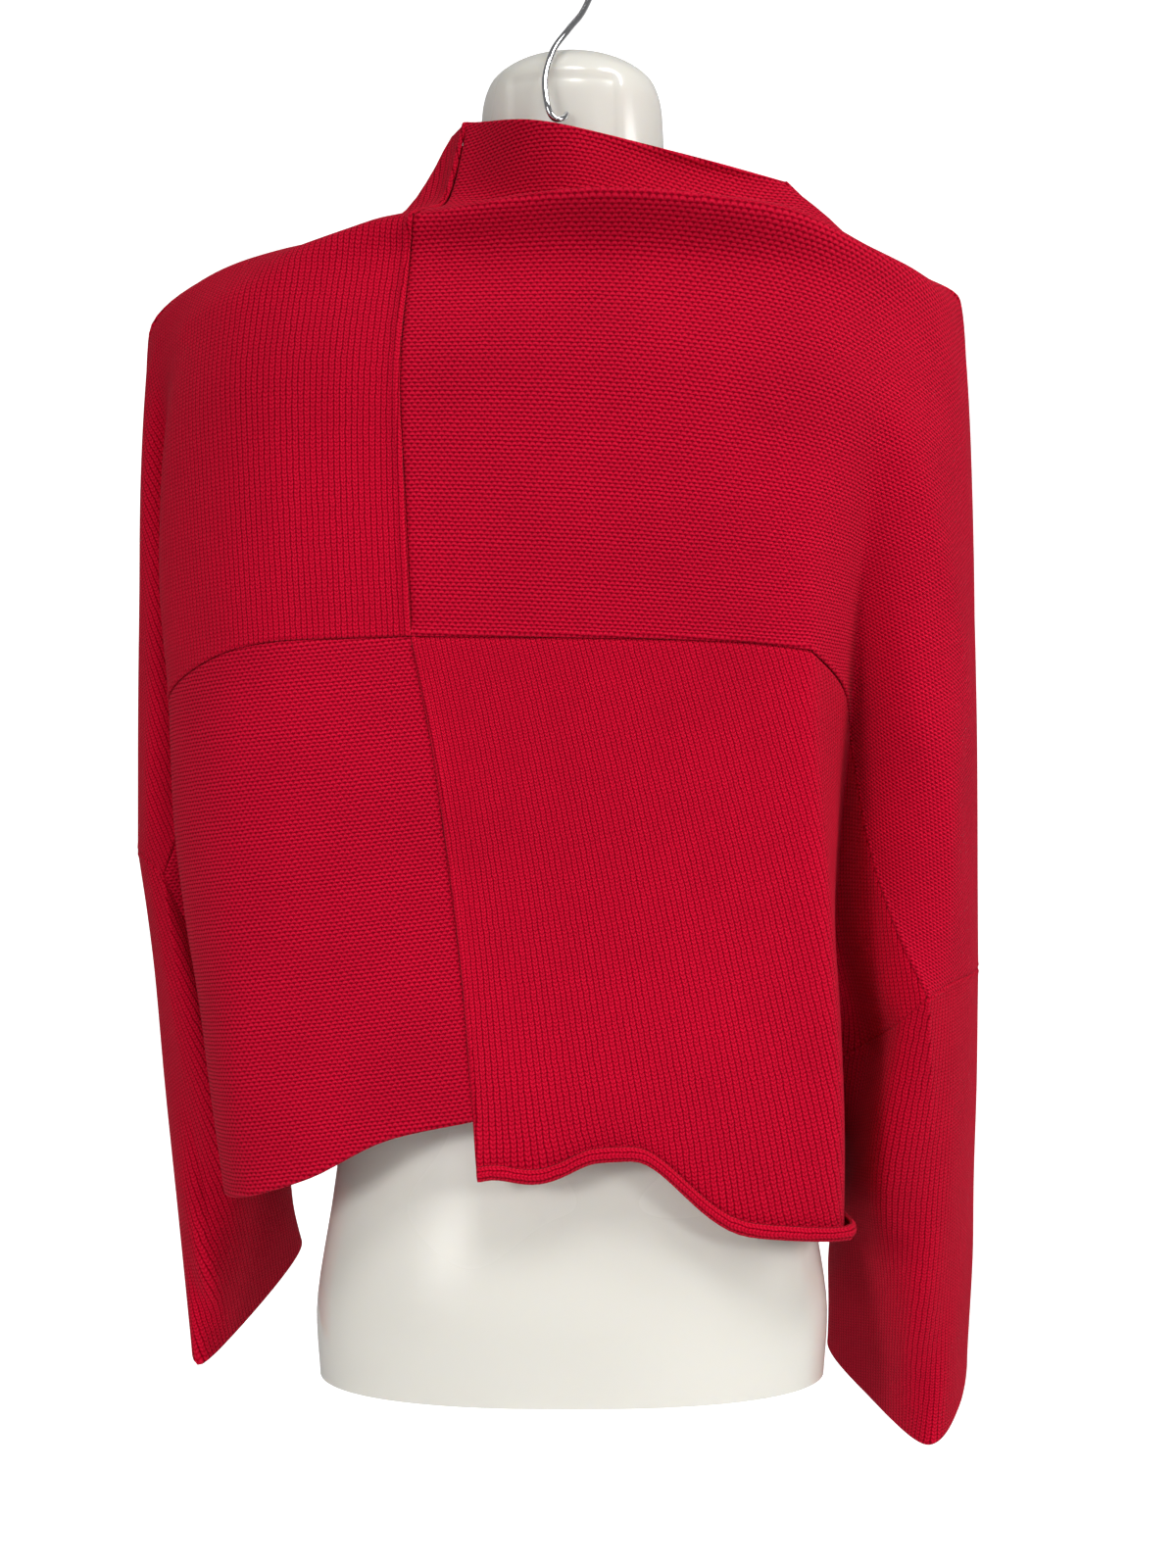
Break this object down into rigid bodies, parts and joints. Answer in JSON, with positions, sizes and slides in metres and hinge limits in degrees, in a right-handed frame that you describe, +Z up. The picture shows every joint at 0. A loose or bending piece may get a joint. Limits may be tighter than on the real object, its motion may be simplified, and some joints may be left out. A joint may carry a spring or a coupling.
{
  "type": "cropped sweater on a hanging torso form",
  "caption": "Boxy cropped knit sweater with batwing sleeves and a funnel neck, on a hanging limbless torso form with a wire hook.",
  "frame": {"origin": "bearing point of the hook, at the top inside of its bend", "axes": "+Z up, +Y away from the pictured side, +X to the right in the picture"},
  "size_m": [0.4939, 0.2596, 0.8736],
  "materials": {
    "jersey_knit": "matt crimson knit, smooth face",
    "purl_knit": "matt crimson knit, bumpy reverse face",
    "form_plastic": "satin off-white",
    "hook_chrome": "polished"
  },
  "bodies": {
    "root": {"back_upper_right": "purl_knit", "back_lower_right": "jersey_knit", "front_upper_right": "purl_knit", "front_lower_right": "jersey_knit", "sleeve_right": "jersey_knit", "back_upper_left": "jersey_knit", "back_lower_left": "purl_knit", "front_upper_left": "jersey_knit", "front_lower_left": "purl_knit", "sleeve_left": "jersey_knit", "torso_form": "form_plastic", "hook": "hook_chrome"}
  },
  "joints": []
}
